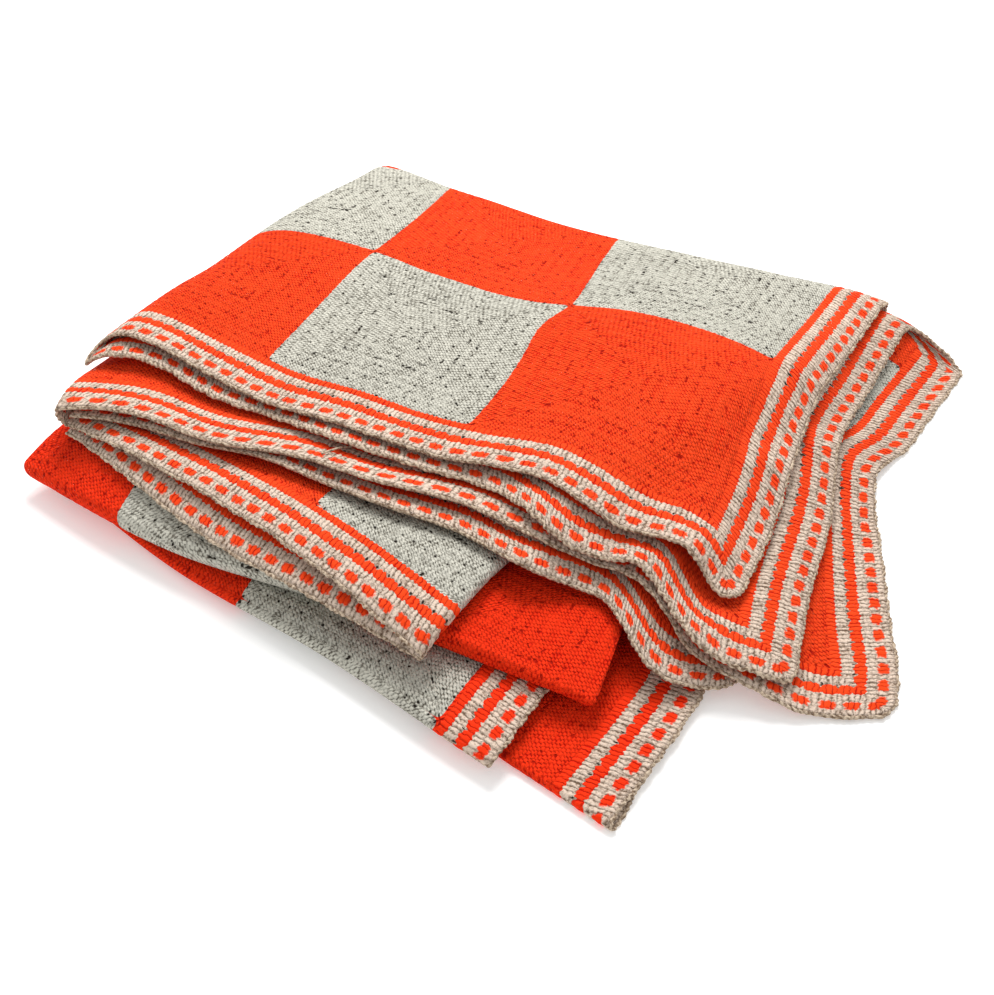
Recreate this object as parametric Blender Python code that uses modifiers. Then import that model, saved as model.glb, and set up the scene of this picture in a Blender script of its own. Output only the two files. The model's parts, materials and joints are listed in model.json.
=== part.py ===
"""Granny square blanket folded into a loose pile.

One crocheted cloth, 7 by 9 squares with a border all round, lies as twelve layers. The layers are sheets over
one another, joined by soft turns at their left, right, near and back sides, and each one comes down over the
edges of those beneath it. X runs along the near side, Y away from it, Z up.
"""
import bmesh
import bpy
import numpy as np

# The cloth, in metres.
CLOTH = 0.0032  # thickness of the crochet
PRESSED = 0.0060  # one layer to the next at the foot of the pile, through the cloth and the air between
LOOSE = 0.0092  # the same higher up
LEDGE = 0.014  # a layer stays level this far past an edge beneath it
FALL = 0.075  # and then comes down over this run
BEHIND = 0.240  # the same run behind the layers that end half way back, which end one after the other
HALF_WAY = ("sole", "low_under", "low", "roll_under")
PILE_MIDDLE = (-0.0290, 0.1217)  # the middle of the pile's footprint, which goes to the origin
COLUMNS = 18  # cells across a layer
TURN_CELLS = 4  # cells round a turn

# Layers from the floor up. Each side is a row of places, evenly spaced along it: x for the left and right
# sides, from near to back, and y for the near and back sides, from left to right. Then come the pitch to the
# next layer and the rows of cells from near to back.
LAYERS = {
    # left x, right x, near y, back y, pitch, rows
    "floor": ((-0.44, -0.43), (0.238, 0.246, 0.250, 0.245), (-0.06, -0.14, -0.215, -0.275),
              (0.495, 0.475, 0.485), PRESSED, 8),
    "sole": ((-0.44, -0.42), (0.234, 0.252, 0.246, 0.230), (-0.06, -0.14, -0.215, -0.275),
             (0.19, 0.19), PRESSED, 8),
    "low_under": ((-0.43, -0.40), (0.122, 0.150, 0.200), (-0.12, -0.18, -0.218, -0.268),
                  (0.19, 0.19), PRESSED, 8),
    "low": ((-0.43, -0.40), (0.128, 0.147, 0.200), (-0.12, -0.18, -0.218, -0.268),
            (0.18, 0.18), PRESSED, 8),
    "roll_under": ((-0.45, -0.40), (0.172, 0.150, 0.190), (-0.133, -0.17, -0.172, -0.18),
                   (0.18, 0.18), PRESSED, 8),
    "roll": ((-0.460, -0.440, -0.436, -0.433, -0.430), (0.180, 0.146, 0.190), (-0.133, -0.17, -0.172, -0.18),
             (0.475, 0.445, 0.455), LOOSE, 9),
    "flap_under": ((-0.43, -0.40), (0.030, 0.060, 0.150, 0.240), (-0.100, -0.175, -0.215),
                   (0.480, 0.450, 0.460), LOOSE, 12),
    "flap": ((-0.433, -0.452, -0.438, -0.420, -0.408), (0.028, 0.060, 0.150, 0.240), (-0.098, -0.145, -0.215),
             (0.491, 0.460, 0.453, 0.459, 0.465), LOOSE, 12),
    "fourth": ((-0.425, -0.430, -0.420, -0.408, -0.400), (0.280, 0.240, 0.240, 0.240),
               (-0.097, -0.083, -0.084, -0.074, -0.078, -0.084, -0.080, -0.094, -0.078, -0.127, -0.102),
               (0.494, 0.463, 0.456, 0.462, 0.468), LOOSE, 12),
    "third": ((-0.433, -0.463, -0.455, -0.440, -0.424, -0.412, -0.405),
              (0.408, 0.397, 0.377, 0.358, 0.339, 0.319, 0.308, 0.324, 0.331, 0.338, 0.345),
              (-0.104, -0.080, -0.082, -0.064, -0.066, -0.052, -0.059, -0.050, -0.092, -0.099, -0.064),
              (0.500, 0.474, 0.463, 0.458, 0.467, 0.474, 0.466), LOOSE, 12),
    "second": ((-0.462, -0.449, -0.433, -0.417, -0.407), (0.323, 0.302, 0.289, 0.265, 0.268, 0.275),
               (-0.022, -0.006, -0.019, -0.020, -0.030, -0.028, -0.024, -0.056, -0.048, -0.097, -0.083),
               (0.506, 0.479, 0.468, 0.463, 0.471, 0.480, 0.475), LOOSE, 12),
    "top": ((-0.462, -0.449, -0.433, -0.417, -0.407), (0.250, 0.248, 0.237, 0.230, 0.238, 0.245),
            (0.010, 0.010, 0.001, -0.011, -0.010, -0.015, -0.011, 0.002, -0.013, -0.010, -0.032),
            (0.512, 0.482, 0.475, 0.474, 0.486, 0.497, 0.496), LOOSE, 12),
}
LEFT, RIGHT, NEAR, BACK, RISE, ROWS = range(6)

# Turns between layers: upper, lower, the side they share, how far the turn stands out as a part of its
# height.
TURNS = (
    ("top", "second", "left", 0.40),
    ("third", "flap", "left", 0.15),
    ("flap", "flap_under", "right", 0.60),
    ("roll", "roll_under", "near", 0.50),
    ("low", "low_under", "near", 0.55),
    ("sole", "floor", "near", 0.55),
    ("second", "third", "back", 0.45),
    ("fourth", "flap", "back", 0.40),
    ("roll_under", "low", "back", 0.60),
    ("low_under", "sole", "back", 0.60),
    ("top", "floor", "back", 0.28),
)

# Soft ridges, where air lies under a layer: the layer beneath it, the ridge's middle, the way it runs in
# degrees, its half length, half width and height.
RIDGES = (
    #  over         x      y      way   length width  height
    ("roll_under", -0.20, -0.12, -3.0, 0.300, 0.080, 0.020),
    ("fourth", -0.400, 0.200, 88.0, 0.300, 0.060, 0.008),
    ("roll", -0.330, 0.400, 20.0, 0.150, 0.120, 0.010),
    ("low_under", -0.02, -0.20, -14.0, 0.150, 0.040, 0.006),
    ("fourth", 0.330, 0.300, 95.0, 0.120, 0.040, 0.012),
    ("third", -0.450, 0.050, 88.0, 0.120, 0.050, 0.008),
    ("third", 0.045, -0.060, 80.0, 0.060, 0.022, 0.004),
    ("third", 0.150, -0.080, 75.0, 0.060, 0.022, 0.005),
    ("second", -0.020, -0.040, 85.0, 0.070, 0.024, 0.004),
    ("second", 0.100, -0.040, 75.0, 0.070, 0.024, 0.005),
    ("second", 0.215, 0.150, 10.0, 0.060, 0.024, 0.004),
)


def ease(part):
    """A smooth step from 0 to 1."""
    part = np.clip(part, 0.0, 1.0)
    return part * part * (3.0 - 2.0 * part)


def along(places, part):
    """The smooth curve through evenly spaced places, read at a part of its length."""
    places = np.asarray(places, float)
    slopes = np.gradient(places)
    spot = np.clip(part, 0.0, 1.0) * (len(places) - 1)
    low = np.minimum(spot.astype(int), len(places) - 2)
    f = spot - low
    return (
        (2 * f**3 - 3 * f**2 + 1) * places[low]
        + (f**3 - 2 * f**2 + f) * slopes[low]
        + (3 * f**2 - 2 * f**3) * places[low + 1]
        + (f**3 - f**2) * slopes[low + 1]
    )


def plan(name, s, t):
    """Where a layer's point lies on the floor plan, at parts s across it and t from near to back."""
    side = LAYERS[name]
    x = along(side[LEFT], t) * (1 - s) + along(side[RIGHT], t) * s
    y = along(side[NEAR], s) * (1 - t) + along(side[BACK], s) * t
    return x, y


def parts_at(name, x, y):
    """The parts s and t at which a layer lies over a place on the plan, past its sides too."""
    side = LAYERS[name]
    s = np.full_like(x, 0.5)
    t = np.full_like(x, 0.5)
    for _ in range(6):
        left, right = along(side[LEFT], t), along(side[RIGHT], t)
        s = (x - left) / (right - left)
        near, back = along(side[NEAR], s), along(side[BACK], s)
        t = (y - near) / (back - near)
    return s, t, right - left, back - near


def cover(name, x, y):
    """1 over a layer, falling to 0 past its sides."""
    s, t, wide, deep = parts_at(name, x, y)
    past_x = np.maximum(-s, s - 1) * wide
    behind = BEHIND if name in HALF_WAY else FALL
    past_y = np.maximum(-t, (t - 1) * FALL / behind) * deep
    past = np.hypot(np.maximum(past_x, 0), np.maximum(past_y, 0))
    return ease((LEDGE + FALL - past) / FALL)


def lift(name, x, y):
    """How far the next layer lies above this one, with the ridges between the two."""
    rise = np.full_like(x, LAYERS[name][RISE])
    for under, mid_x, mid_y, way, length, width, high in RIDGES:
        if under == name:
            turn = np.radians(way)
            run = (x - mid_x) * np.cos(turn) + (y - mid_y) * np.sin(turn)
            off = (y - mid_y) * np.cos(turn) - (x - mid_x) * np.sin(turn)
            rise = rise + high * np.exp(-((run / length) ** 4) - (off / width) ** 2)
    return rise


def height(name, x, y):
    """The height of a layer's middle: the cloth and air of all that lies beneath it."""
    z = np.full_like(x, CLOTH / 2)
    for under in LAYERS:
        if under == name:
            break
        z = z + lift(under, x, y) * cover(under, x, y)
    return z


def layer_grid(name):
    """A layer's points as rows from near to back."""
    parts = np.linspace(0, 1, LAYERS[name][ROWS] + 1), np.linspace(0, 1, COLUMNS + 1)
    t, s = np.meshgrid(*parts, indexing="ij")
    x, y = plan(name, s, t)
    return np.stack([x - PILE_MIDDLE[0], y - PILE_MIDDLE[1], height(name, x, y)], axis=-1)


def side_of(grid, side):
    """One side of a grid, as a row of its entries."""
    return {"left": grid[:, 0], "right": grid[:, -1], "near": grid[0], "back": grid[-1]}[side]


def turn_points(upper, lower, side, stand):
    """The rows of points of a turn, from just under the upper side to just over the lower one."""
    out = {"left": (-1, 0, 0), "right": (1, 0, 0), "near": (0, -1, 0), "back": (0, 1, 0)}[side]
    middle, half = (upper + lower) / 2, (upper - lower) / 2
    reach = stand * (upper[:, 2:] - lower[:, 2:])
    rows = []
    for step in range(1, TURN_CELLS):
        angle = np.pi * step / TURN_CELLS
        rows.append(middle + half * np.cos(angle) + reach * np.sin(angle) * np.array(out, float))
    return rows


def build_cloth():
    """The middle surface of the whole cloth as one mesh."""
    bm = bmesh.new()
    corners = {}
    points = {name: layer_grid(name) for name in LAYERS}
    for name, grid in points.items():
        verts = np.empty(grid.shape[:2], dtype=object)
        for place in np.ndindex(verts.shape):
            verts[place] = bm.verts.new(grid[place])
        corners[name] = verts
        fill(bm, list(verts))
    for upper, lower, side, stand in TURNS:
        high, low = side_of(corners[upper], side), side_of(corners[lower], side)
        rows = turn_points(side_of(points[upper], side), side_of(points[lower], side), side, stand)
        middle = [[bm.verts.new(point) for point in row] for row in rows]
        fill(bm, [high, *middle, low])
    bmesh.ops.recalc_face_normals(bm, faces=bm.faces)
    return bm


def fill(bm, rows):
    """Faces between rows of vertices."""
    for row, following in zip(rows, rows[1:]):
        for i in range(len(row) - 1):
            bm.faces.new((row[i], row[i + 1], following[i + 1], following[i]))


def yarn_material():
    """Crocheted wool in the lighter of its two colours."""
    material = bpy.data.materials.new("crocheted_yarn")
    material.use_nodes = True
    shader = material.node_tree.nodes["Principled BSDF"]
    shader.inputs["Base Color"].default_value = (0.80, 0.09, 0.02, 1.0)
    shader.inputs["Roughness"].default_value = 0.85
    shader.inputs["Metallic"].default_value = 0.0
    return material


def main():
    for thing in list(bpy.data.objects):
        bpy.data.objects.remove(thing)
    collection = bpy.data.collections.new("granny_square_blanket")
    bpy.context.scene.collection.children.link(collection)
    mesh = bpy.data.meshes.new("blanket")
    bm = build_cloth()
    bm.to_mesh(mesh)
    bm.free()
    blanket = bpy.data.objects.new("blanket", mesh)
    collection.objects.link(blanket)
    mesh.materials.append(yarn_material())
    shell = blanket.modifiers.new("cloth", "SOLIDIFY")
    shell.thickness = CLOTH
    shell.offset = 0.0
    shell.use_rim = True
    mesh.shade_smooth()


main()
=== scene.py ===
"""Granny square blanket, orange-red and warm grey, folded into a loose pile: its looks.

The crochet is one sheet for each layer of the pile, with the soft turns that join the layers, on the same
folds as the solid, and a chain edge of its own. Every point knows where it lies on the flat blanket: which
square it is in, and how far it is from the blanket's edge. The material works the squares, rounds, stitches
and border rows out from that.
Pile coordinates: X runs along the near side, Y away from it, Z up, in metres.
"""
import json

import bpy
import numpy as np
from mathutils import Matrix, Vector

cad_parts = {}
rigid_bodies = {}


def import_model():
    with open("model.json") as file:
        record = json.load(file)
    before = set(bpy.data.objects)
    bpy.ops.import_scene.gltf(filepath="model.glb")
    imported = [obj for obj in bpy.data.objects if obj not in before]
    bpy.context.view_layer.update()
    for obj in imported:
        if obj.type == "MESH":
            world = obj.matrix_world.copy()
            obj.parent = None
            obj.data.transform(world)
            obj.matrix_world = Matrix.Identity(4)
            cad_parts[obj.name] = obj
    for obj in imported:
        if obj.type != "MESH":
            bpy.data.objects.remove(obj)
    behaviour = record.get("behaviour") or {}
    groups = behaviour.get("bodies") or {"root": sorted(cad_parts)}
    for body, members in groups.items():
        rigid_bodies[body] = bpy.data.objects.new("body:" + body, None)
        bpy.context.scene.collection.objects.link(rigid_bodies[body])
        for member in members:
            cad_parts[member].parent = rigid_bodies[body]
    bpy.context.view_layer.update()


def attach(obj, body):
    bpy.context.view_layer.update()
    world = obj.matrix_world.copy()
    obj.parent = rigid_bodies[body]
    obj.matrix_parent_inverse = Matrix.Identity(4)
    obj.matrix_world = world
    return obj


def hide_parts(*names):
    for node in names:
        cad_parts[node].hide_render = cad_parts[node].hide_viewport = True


# The pile's folds, in metres. They are the solid's own.
CLOTH = 0.0032  # thickness of the crochet
PRESSED = 0.0060  # one layer to the next at the foot of the pile, through the cloth and the air between
LOOSE = 0.0092  # the same higher up
LEDGE = 0.014  # a layer stays level this far past an edge beneath it
FALL = 0.075  # and then comes down over this run
BEHIND = 0.240  # the same run behind the layers that end half way back, which end one after the other
HALF_WAY = ("sole", "low_under", "low", "roll_under")
PILE_MIDDLE = (-0.0290, 0.1217)  # the middle of the pile's footprint, which goes to the origin

# Layers from the floor up. Each side is a row of places, evenly spaced along it: x for the left and right
# sides, from near to back, and y for the near and back sides, from left to right. Then comes the pitch to the
# next layer.
LAYERS = {
    # left x, right x, near y, back y, pitch
    "floor": ((-0.44, -0.43), (0.238, 0.246, 0.250, 0.245), (-0.06, -0.14, -0.215, -0.275),
              (0.495, 0.475, 0.485), PRESSED),
    "sole": ((-0.44, -0.42), (0.234, 0.252, 0.246, 0.230), (-0.06, -0.14, -0.215, -0.275),
             (0.19, 0.19), PRESSED),
    "low_under": ((-0.43, -0.40), (0.122, 0.150, 0.200), (-0.12, -0.18, -0.218, -0.268),
                  (0.19, 0.19), PRESSED),
    "low": ((-0.43, -0.40), (0.128, 0.147, 0.200), (-0.12, -0.18, -0.218, -0.268),
            (0.18, 0.18), PRESSED),
    "roll_under": ((-0.45, -0.40), (0.172, 0.150, 0.190), (-0.133, -0.17, -0.172, -0.18),
                   (0.18, 0.18), PRESSED),
    "roll": ((-0.460, -0.440, -0.436, -0.433, -0.430), (0.180, 0.146, 0.190),
             (-0.133, -0.17, -0.172, -0.18), (0.475, 0.445, 0.455), LOOSE),
    "flap_under": ((-0.43, -0.40), (0.030, 0.060, 0.150, 0.240), (-0.100, -0.175, -0.215),
                   (0.480, 0.450, 0.460), LOOSE),
    "flap": ((-0.433, -0.452, -0.438, -0.420, -0.408), (0.028, 0.060, 0.150, 0.240),
             (-0.098, -0.145, -0.215), (0.491, 0.460, 0.453, 0.459, 0.465), LOOSE),
    "fourth": ((-0.425, -0.430, -0.420, -0.408, -0.400), (0.280, 0.240, 0.240, 0.240),
               (-0.097, -0.083, -0.084, -0.074, -0.078, -0.084, -0.080, -0.094, -0.078, -0.127, -0.102),
               (0.494, 0.463, 0.456, 0.462, 0.468), LOOSE),
    "third": ((-0.433, -0.463, -0.455, -0.440, -0.424, -0.412, -0.405),
              (0.408, 0.397, 0.377, 0.358, 0.339, 0.319, 0.308, 0.324, 0.331, 0.338, 0.345),
              (-0.104, -0.080, -0.082, -0.064, -0.066, -0.052, -0.059, -0.050, -0.092, -0.099, -0.064),
              (0.500, 0.474, 0.463, 0.458, 0.467, 0.474, 0.466), LOOSE),
    "second": ((-0.462, -0.449, -0.433, -0.417, -0.407), (0.323, 0.302, 0.289, 0.265, 0.268, 0.275),
               (-0.022, -0.006, -0.019, -0.020, -0.030, -0.028, -0.024, -0.056, -0.048, -0.097, -0.083),
               (0.506, 0.479, 0.468, 0.463, 0.471, 0.480, 0.475), LOOSE),
    "top": ((-0.462, -0.449, -0.433, -0.417, -0.407), (0.250, 0.248, 0.237, 0.230, 0.238, 0.245),
            (0.010, 0.010, 0.001, -0.011, -0.010, -0.015, -0.011, 0.002, -0.013, -0.010, -0.032),
            (0.512, 0.482, 0.475, 0.474, 0.486, 0.497, 0.496), LOOSE),
}
LEFT, RIGHT, NEAR, BACK, RISE = range(5)
SETTLING = 6  # rounds of closing in on a place in a layer, after which it no longer moves

# For each side: which way is out, and how the distances from the blanket's right and near edges go on round a
# turn there.
SIDES = {
    "left": ((-1, 0, 0), (1, 0)),
    "right": ((1, 0, 0), (-1, 0)),
    "near": ((0, -1, 0), (0, -1)),
    "back": ((0, 1, 0), (0, 1)),
}

# Turns between layers: upper, lower, the side they share, how far the turn stands out as a part of its
# height.
TURNS = (
    ("top", "second", "left", 0.40),
    ("third", "flap", "left", 0.15),
    ("flap", "flap_under", "right", 0.60),
    ("roll", "roll_under", "near", 0.50),
    ("low", "low_under", "near", 0.55),
    ("sole", "floor", "near", 0.55),
    ("second", "third", "back", 0.45),
    ("fourth", "flap", "back", 0.40),
    ("roll_under", "low", "back", 0.60),
    ("low_under", "sole", "back", 0.60),
    ("top", "floor", "back", 0.28),
)

# Soft ridges, where air lies under a layer: the layer beneath it, the ridge's middle, the way it runs in
# degrees, its half length, half width and height.
RIDGES = (
    #  over         x      y      way   length width  height
    ("roll_under", -0.20, -0.12, -3.0, 0.300, 0.080, 0.020),
    ("fourth", -0.400, 0.200, 88.0, 0.300, 0.060, 0.008),
    ("roll", -0.330, 0.400, 20.0, 0.150, 0.120, 0.010),
    ("low_under", -0.02, -0.20, -14.0, 0.150, 0.040, 0.006),
    ("fourth", 0.330, 0.300, 95.0, 0.120, 0.040, 0.012),
    ("third", -0.450, 0.050, 88.0, 0.120, 0.050, 0.008),
    ("third", 0.045, -0.060, 80.0, 0.060, 0.022, 0.004),
    ("third", 0.150, -0.080, 75.0, 0.060, 0.022, 0.005),
    ("second", -0.020, -0.040, 85.0, 0.070, 0.024, 0.004),
    ("second", 0.100, -0.040, 75.0, 0.070, 0.024, 0.005),
    ("second", 0.215, 0.150, 10.0, 0.060, 0.024, 0.004),
)

# Ripples of the near and right borders where they stand up off the layer beneath, and one dip at the near
# left, all too small for the solid. The columns are those of the ridges.
RIPPLES = (
    ("second", 0.200, -0.010, 78.0, 0.050, 0.020, 0.011),
    ("third", 0.235, -0.085, 78.0, 0.045, 0.022, 0.009),
    ("third", 0.150, -0.080, 75.0, 0.050, 0.020, 0.004),
    ("fourth", 0.190, -0.105, 78.0, 0.045, 0.022, 0.006),
    ("second", 0.245, 0.280, 5.0, 0.045, 0.024, 0.005),
    ("third", 0.270, 0.230, 5.0, 0.045, 0.024, 0.005),
    ("third", -0.480, -0.035, 0.0, 0.050, 0.040, -0.006),
)

# How far the near border stands up off the layer beneath, from left to right, in millimetres, and how far
# back from the edge that reaches, in metres.
WAVES = {
    "flap": (0, 1, 2, 1, 3, 2, 4, 2, 3, 1, 0),
    "fourth": (1, 0, 2, 4, 1, 3, 0, 3, 2, 5, 2),
    "third": (2, 1, 0, 3, 6, 4, 1, 4, 2, 3, 1),
    "second": (1, 3, 1, 0, 5, 2, 0, 3, 1, 5, 1),
    "top": (0, 5, 2, 0, 1, 3, 0, 2, 0, 3, 0),
}
WAVE_REACH = 0.030

# The crochet, in metres.
SQUARE = 0.240  # one granny square
BORDER = 0.058  # the striped border, from the blanket's edge in to the squares
YARN_DEEP = 0.0034  # thickness of the crochet as it looks, a little over the pressed cloth
CORNER = 0.020  # the blanket's corners are this round
CORNER_POINTS = 12  # and this many points of the mesh tell which way its sides run there
FAR = 1.0  # stands for a side of the blanket that a layer doesn't reach
ROW_EDGES = (0.0, 0.007, 0.017, 0.026, 0.038, 0.049, 0.058)  # where the border's rows meet, from the edge
ROUND = 0.012  # one round of a granny square
ROW_PUFF = 0.0008  # how far a border row's middle stands over its sides
ROUND_PUFF = 0.0004  # the same for a round
PUFF_POWER = 0.7  # how full a puff is
PUFF_SUNK = 0.6  # how much of a puff lies under the sheet's own surface
TURN_CELL = 0.004  # one cell of the mesh on its way round a turn
TURN_ROUND = 2.2  # the way round a turn, as a part of its height
TURN_CELLS = (6, 24)  # the fewest and the most cells that it gets

# The chain stitches of the outermost row, in metres. Done by hand, they come out a little uneven.
CHAIN = 0.0068  # one chain stitch
CHAIN_THICK = 0.0015  # half its thickness
CHAIN_POINTS, CHAIN_SIDES = 6, 10  # points of the mesh along one stitch and round it
CHAIN_FLAT = 1.2  # how much wider than thick it is
CHAIN_WAIST, CHAIN_BULGE = 0.85, 0.30  # its thickness between two links, and what a link adds
CHAIN_FULL = 0.6  # how full a link is, more so the lower this is
CHAIN_UNEVEN = (0.3, 130)  # how far the stitches' lengths vary, in stitches, and how fast, in radians a metre
CHAIN_LEAN = 0.0006  # how far each stitch swings to the side
CHAIN_SWAY = (0.0008, 210, 2, 47)  # how far the edge sways and how fast, and how far and fast that varies

# The loose end of yarn on the third layer's border: its places on the plan, and how far it stands off the
# cloth.
YARN_END = (
    (-0.138, -0.012, 0.000), (-0.146, -0.025, 0.002), (-0.153, -0.038, 0.003), (-0.160, -0.052, 0.000),
)
YARN_THICK = 0.0020
YARN_POINTS, YARN_SIDES = 25, 8  # points of the mesh along it and round it
YARN_TWIST = (0.15, 5)  # how much its strands stand out, and how fast they wind

# The free sides of each layer, where the blanket's own edge lies. The others are turns, or hidden.
FREE_SIDES = {
    "floor": ("right",), "sole": ("right",), "low_under": ("right",), "low": ("right",), "roll_under": (),
    "roll": (), "flap_under": ("near",), "flap": ("near",), "fourth": ("near", "right"),
    "third": ("near", "right"), "second": ("near", "right"), "top": ("near", "right"),
}
UNCHAINED = "low_under"  # its free edge lies hidden right under low's

# Where the seams between squares cross a layer. The squares are counted from right to left and from near to
# back, and those whose two numbers add up to an even one are orange. First the seams across: the square that
# each one starts, and its x from near to back; then the seams up: the square, and its y from left to right. A
# layer that isn't here has its squares straight along its free sides, and a seam with no places is the
# border's inner side.
SEAMS = {
    "floor": (((0, None),), ((0, (-0.30, -0.30)),)),
    "sole": (((0, None),), ((0, (-0.30, -0.30)),)),
    "low_under": (((1, (0.070, 0.070)), (2, (-0.165, -0.165))), ((0, (-0.12, -0.18, -0.218, -0.268)),)),
    "low": (((1, (0.070, 0.090)), (2, (-0.165, -0.165))), ((0, (-0.12, -0.18, -0.218, -0.268)),)),
    "roll_under": (
        ((0, (0.193, 0.193)), (1, (-0.047, -0.047)), (2, (-0.322, -0.322))), ((0, (-0.243, -0.243)),),
    ),
    "roll": (
        ((0, (0.193, 0.193)), (1, (-0.047, -0.047)), (2, (-0.322, -0.322))), ((0, (-0.243, -0.243)),),
    ),
    "flap_under": (((2, (-0.137, -0.139)),), ((0, (-0.04, -0.117, -0.155)),)),
    "flap": (((2, (-0.137, -0.139)),), ((0, (-0.036, -0.085, -0.155)),)),
    "third": (((0, None), (2, (-0.215, -0.215)), (3, (-0.475, -0.475))), ((0, None),)),
    "top": (
        (
            (0, None), (1, (-0.052, -0.052, -0.051, -0.055, -0.062, -0.052, -0.059, -0.068, -0.073)),
            (2, (-0.286, -0.291, -0.296, -0.294, -0.301)),
        ),
        ((0, None), (1, (0.262, 0.288, 0.276, 0.274, 0.311, 0.306, 0.262))),
    ),
}

# How closely each layer's mesh is spaced: the columns' step, the rows' step by the near side, how deep those
# rows reach, and the rows' step past them.
SPACING = {
    "floor": (0.008, 0.008, 0.03, 0.020), "sole": (0.003, 0.003, 0.12, 0.020),
    "low_under": (0.008, 0.006, 0.05, 0.020), "low": (0.003, 0.003, 0.11, 0.020),
    "roll_under": (0.008, 0.006, 0.05, 0.020), "roll": (0.003, 0.003, 0.11, 0.020),
    "flap_under": (0.004, 0.004, 0.03, 0.020), "flap": (0.003, 0.003, 0.15, 0.018),
    "fourth": (0.004, 0.004, 0.04, 0.016), "third": (0.0032, 0.0032, 0.09, 0.006),
    "second": (0.0032, 0.0032, 0.06, 0.008), "top": (0.0029, 0.0029, 0.60, 0.0029),
}


def ease(part):
    """A smooth step from 0 to 1."""
    part = np.clip(part, 0.0, 1.0)
    return part * part * (3.0 - 2.0 * part)


def along(places, part):
    """The smooth curve through evenly spaced places, read at a part of its length."""
    places = np.asarray(places, float)
    slopes = np.gradient(places)
    spot = np.clip(part, 0.0, 1.0) * (len(places) - 1)
    low = np.minimum(spot.astype(int), len(places) - 2)
    f = spot - low
    return (
        (2 * f**3 - 3 * f**2 + 1) * places[low]
        + (f**3 - 2 * f**2 + f) * slopes[low]
        + (3 * f**2 - 2 * f**3) * places[low + 1]
        + (f**3 - f**2) * slopes[low + 1]
    )


def plan(name, s, t):
    """Where a layer's point lies on the floor plan, at parts s across it and t from near to back."""
    side = LAYERS[name]
    x = along(side[LEFT], t) * (1 - s) + along(side[RIGHT], t) * s
    y = along(side[NEAR], s) * (1 - t) + along(side[BACK], s) * t
    return x, y


def parts_at(name, x, y):
    """The parts s and t at which a layer lies over a place on the plan, past its sides too."""
    side = LAYERS[name]
    s = np.full_like(x, 0.5)
    t = np.full_like(x, 0.5)
    for _ in range(SETTLING):
        left, right = along(side[LEFT], t), along(side[RIGHT], t)
        s = (x - left) / (right - left)
        near, back = along(side[NEAR], s), along(side[BACK], s)
        t = (y - near) / (back - near)
    return s, t, right - left, back - near


def cover(name, x, y):
    """1 over a layer, falling to 0 past its sides."""
    s, t, wide, deep = parts_at(name, x, y)
    past_x = np.maximum(-s, s - 1) * wide
    behind = BEHIND if name in HALF_WAY else FALL
    past_y = np.maximum(-t, (t - 1) * FALL / behind) * deep
    past = np.hypot(np.maximum(past_x, 0), np.maximum(past_y, 0))
    return ease((LEDGE + FALL - past) / FALL)


def lift(name, x, y):
    """How far the next layer lies above this one, with the ridges between the two."""
    rise = np.full_like(x, LAYERS[name][RISE])
    for under, mid_x, mid_y, way, length, width, high in RIDGES + RIPPLES:
        if under == name:
            turn = np.radians(way)
            run = (x - mid_x) * np.cos(turn) + (y - mid_y) * np.sin(turn)
            off = (y - mid_y) * np.cos(turn) - (x - mid_x) * np.sin(turn)
            rise = rise + high * np.exp(-((run / length) ** 4) - (off / width) ** 2)
    return rise


def height(name, x, y):
    """The height of a layer's middle: the cloth and air of all that lies beneath it."""
    z = np.full_like(x, CLOTH / 2)
    for under in LAYERS:
        if under == name:
            break
        z = z + lift(under, x, y) * cover(under, x, y)
    return z


def surface(name, s, t):
    """Points of a layer's middle surface."""
    x, y = plan(name, s, t)
    z = height(name, x, y)
    if name in WAVES:
        from_edge = y - along(LAYERS[name][NEAR], s)
        z = z + along(WAVES[name], s) / 1000 * np.exp(-((from_edge / WAVE_REACH) ** 2))
    return np.stack([x, y, z], axis=-1)


def spaced(length, step, fine, far_step):
    """Parts of a length, closer together over its first stretch."""
    fine = min(fine, length)
    places = [np.linspace(0, fine, max(2, round(fine / step)))]
    if length > fine:
        places.append(np.linspace(fine, length, max(2, round((length - fine) / far_step)))[1:])
    return np.concatenate(places) / length


def run_along(points, axis):
    """How far each point of a grid is along the cloth from the first one of its row or column."""
    steps = np.linalg.norm(np.diff(points, axis=axis), axis=-1)
    start = np.zeros_like(np.take(steps, [0], axis=axis))
    return np.cumsum(np.concatenate([start, steps], axis=axis), axis=axis)


def hem_distances(name, points):
    """How far a layer's points are along the cloth from the blanket's right and near edges."""
    from_right = from_near = np.full(points.shape[:2], FAR)
    if "right" in FREE_SIDES[name]:
        from_right = run_along(points[:, ::-1], 1)[:, ::-1]
    if "near" in FREE_SIDES[name]:
        from_near = run_along(points, 0)
    return np.stack([from_right, from_near], axis=-1)


def square_number(seams, place, part, towards, hem):
    """The number of the square at a place, and how far through it the place is, from the seams' places."""
    border_line = place - towards * (hem - BORDER)
    lines = [(number, border_line if places is None else along(places, part)) for number, places in seams]
    (first, first_line), (last, last_line) = lines[0], lines[-1]
    number = first + (place - first_line) * towards / SQUARE
    for (low, low_line), (high, high_line) in zip(lines, lines[1:]):
        share = (place - low_line) / (high_line - low_line)
        number = np.where(share > 0, low + share * (high - low), number)
    past = (place - last_line) * towards
    return np.where(past > 0, last + past / SQUARE, number)


def square_numbers(name, points, s, t, hem):
    """Which square each point of a layer is in, counted across and up, with its place in the square."""
    if name not in SEAMS:
        return (hem - BORDER) / SQUARE
    across, up = SEAMS[name]
    return np.stack(
        [
            square_number(across, points[..., 0], t, -1, hem[..., 0]),
            square_number(up, points[..., 1], s, 1, hem[..., 1]),
        ],
        axis=-1,
    )


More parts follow.
